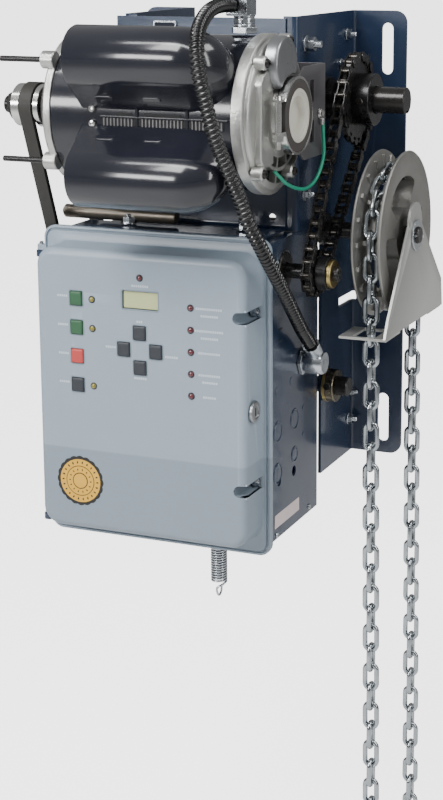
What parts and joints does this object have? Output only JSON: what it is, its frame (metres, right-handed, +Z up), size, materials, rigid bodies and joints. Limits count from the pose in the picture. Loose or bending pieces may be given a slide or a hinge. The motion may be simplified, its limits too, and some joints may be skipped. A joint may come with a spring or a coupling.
{
  "type": "garage door operator",
  "caption": "Wall-mounted door operator with a foot-mounted motor, belt and chain reduction, keyed output shaft, hinged keypad control box and a hand chain hoist.",
  "frame": {"origin": "on the back face of the right wall flange, on the centre line of its two slots, level with the output shaft", "axes": "+Z up, +Y into the wall, +X to the right, along the output shaft"},
  "size_m": [0.363, 0.3554, 0.969],
  "materials": {
    "blue_paint": "dark blue gloss powder coat",
    "grey_cover": "satin blue-grey moulded plastic",
    "dark_paint": "dark gunmetal gloss paint",
    "cast_aluminium": "rough cast aluminium",
    "zinc": "bright zinc plate",
    "yellow_zinc": "yellow zinc plate",
    "black_steel": "black oxide steel",
    "sheet_steel": "plain zinc sheet",
    "rubber": "black rubber",
    "cream_plastic": "cream moulded plastic",
    "green_cover_wire": "green insulation",
    "board": "green circuit board",
    "green_button": "green key",
    "red_button": "red key",
    "dark_button": "charcoal key"
  },
  "bodies": {
    "machine": {"right_bracket": "blue_paint", "left_bracket": "blue_paint", "motor_plate": "blue_paint", "control_box": "blue_paint", "circuit_board": "board", "transformer": "dark_paint", "motor_shell": "dark_paint", "end_bell_left": "cast_aluminium", "end_bell_right": "cast_aluminium", "bell_cap": "cast_aluminium", "capacitor_cover_upper": "dark_paint", "capacitor_cover_lower": "dark_paint", "cradle": "sheet_steel", "mount_ring_right": "rubber", "mount_ring_left": "rubber", "bearing_cap": "cream_plastic", "ring_clamp": "zinc", "output_bearing_right": "black_steel", "output_bearing_left": "black_steel", "axle_bearing": "black_steel", "hand_chain": "zinc", "v_belt": "rubber", "roller_chain": "black_steel", "first_stage_chain": "black_steel", "second_stage_chain": "black_steel", "conduit": "rubber", "conduit_connector_top": "zinc", "conduit_connector_bottom": "zinc", "ground_wire": "green_cover_wire", "spring_eye": "zinc"},
    "output": {"output_shaft": "black_steel", "output_sprocket": "black_steel", "output_drive_sprocket": "black_steel"},
    "motor_rotor": {"rotor": "black_steel", "motor_pulley": "zinc"},
    "first_reduction": {"first_shaft": "black_steel", "driven_pulley": "cast_aluminium", "first_sprocket": "black_steel", "shaft_collar": "yellow_zinc"},
    "second_reduction": {"second_shaft": "black_steel", "reduction_sprocket": "black_steel", "axle_washer": "zinc"},
    "limit_drive": {"limit_shaft": "black_steel", "limit_sprocket": "black_steel"},
    "limit_nut_open": {"limit_nut_open": "cream_plastic"},
    "limit_nut_close": {"limit_nut_close": "cream_plastic"},
    "hand_wheel": {"hand_wheel": "cast_aluminium"},
    "chain_guide": {"chain_guide": "sheet_steel"},
    "front_cover": {"cover": "grey_cover", "keypad_board": "board"},
    "cover_lock": {"cover_lock": "zinc"},
    "release_spring": {"release_spring": "zinc"},
    "open_button": {"open_button": "green_button"},
    "close_button": {"close_button": "green_button"},
    "stop_button": {"stop_button": "red_button"},
    "learn_button": {"learn_button": "dark_button"},
    "up_button": {"up_button": "dark_button"},
    "back_button": {"back_button": "dark_button"},
    "enter_button": {"enter_button": "dark_button"},
    "down_button": {"down_button": "dark_button"}
  },
  "joints": [
    {"name": "output_spin", "type": "hinge", "parent": "machine", "child": "output", "pos_m": [-0.0078, -0.08, 0], "axis": [1, 0, 0], "continuous": true},
    {"name": "motor_spin", "type": "hinge", "parent": "machine", "child": "motor_rotor", "pos_m": [-0.2668, -0.236, -0.001], "axis": [1, 0, 0], "continuous": true},
    {"name": "first_reduction_spin", "type": "hinge", "parent": "machine", "child": "first_reduction", "pos_m": [-0.2668, -0.084, -0.285], "axis": [1, 0, 0], "continuous": true},
    {"name": "second_reduction_spin", "type": "hinge", "parent": "machine", "child": "second_reduction", "pos_m": [-0.1848, -0.095, -0.1256], "axis": [1, 0, 0], "continuous": true},
    {"name": "limit_spin", "type": "hinge", "parent": "machine", "child": "limit_drive", "pos_m": [-0.0048, -0.193, -0.149], "axis": [1, 0, 0], "continuous": true},
    {"name": "hand_wheel_spin", "type": "hinge", "parent": "machine", "child": "hand_wheel", "pos_m": [0.0382, -0.095, -0.1256], "axis": [1, 0, 0], "continuous": true},
    {"name": "limit_nut_open_travel", "type": "slide", "parent": "machine", "child": "limit_nut_open", "axis": [1, 0, 0], "range_m": [-0.012, 0.018]},
    {"name": "limit_nut_close_travel", "type": "slide", "parent": "machine", "child": "limit_nut_close", "axis": [1, 0, 0], "range_m": [-0.012, 0.018]},
    {"name": "chain_guide_swivel", "type": "hinge", "parent": "machine", "child": "chain_guide", "pos_m": [0.0602, -0.095, -0.1256], "axis": [1, 0, 0], "range_deg": [-4, 4]},
    {"name": "cover_hinge", "type": "hinge", "parent": "machine", "child": "front_cover", "pos_m": [-0.2728, -0.223, -0.27], "axis": [0, 0, -1], "range_deg": [0, 120]},
    {"name": "cover_lock_turn", "type": "hinge", "parent": "front_cover", "child": "cover_lock", "pos_m": [-0.0418, -0.25, -0.2707], "axis": [1, 0, 0], "range_deg": [0, 90]},
    {"name": "release_spring_swing", "type": "hinge", "parent": "machine", "child": "release_spring", "pos_m": [-0.1178, -0.16, -0.4205], "axis": [1, 0, 0], "range_deg": [-10, 10]},
    {"name": "open_button_press", "type": "slide", "parent": "front_cover", "child": "open_button", "axis": [0, 1, 0], "range_m": [0, 0.001], "stiffness_N_per_m": 300, "springref_m": -0.002},
    {"name": "close_button_press", "type": "slide", "parent": "front_cover", "child": "close_button", "axis": [0, 1, 0], "range_m": [0, 0.001], "stiffness_N_per_m": 300, "springref_m": -0.002},
    {"name": "stop_button_press", "type": "slide", "parent": "front_cover", "child": "stop_button", "axis": [0, 1, 0], "range_m": [0, 0.001], "stiffness_N_per_m": 300, "springref_m": -0.002},
    {"name": "learn_button_press", "type": "slide", "parent": "front_cover", "child": "learn_button", "axis": [0, 1, 0], "range_m": [0, 0.001], "stiffness_N_per_m": 300, "springref_m": -0.002},
    {"name": "up_button_press", "type": "slide", "parent": "front_cover", "child": "up_button", "axis": [0, 1, 0], "range_m": [0, 0.001], "stiffness_N_per_m": 300, "springref_m": -0.002},
    {"name": "back_button_press", "type": "slide", "parent": "front_cover", "child": "back_button", "axis": [0, 1, 0], "range_m": [0, 0.001], "stiffness_N_per_m": 300, "springref_m": -0.002},
    {"name": "enter_button_press", "type": "slide", "parent": "front_cover", "child": "enter_button", "axis": [0, 1, 0], "range_m": [0, 0.001], "stiffness_N_per_m": 300, "springref_m": -0.002},
    {"name": "down_button_press", "type": "slide", "parent": "front_cover", "child": "down_button", "axis": [0, 1, 0], "range_m": [0, 0.001], "stiffness_N_per_m": 300, "springref_m": -0.002}
  ],
  "couplings": [
    {"joint": "first_reduction_spin", "follows": "output_spin", "ratio": 7.1111},
    {"joint": "second_reduction_spin", "follows": "output_spin", "ratio": 2.6667},
    {"joint": "limit_spin", "follows": "output_spin", "ratio": 2.2222},
    {"joint": "motor_spin", "follows": "output_spin", "ratio": 23.704},
    {"joint": "limit_nut_close_travel", "follows": "limit_nut_open_travel", "ratio": 1}
  ]
}
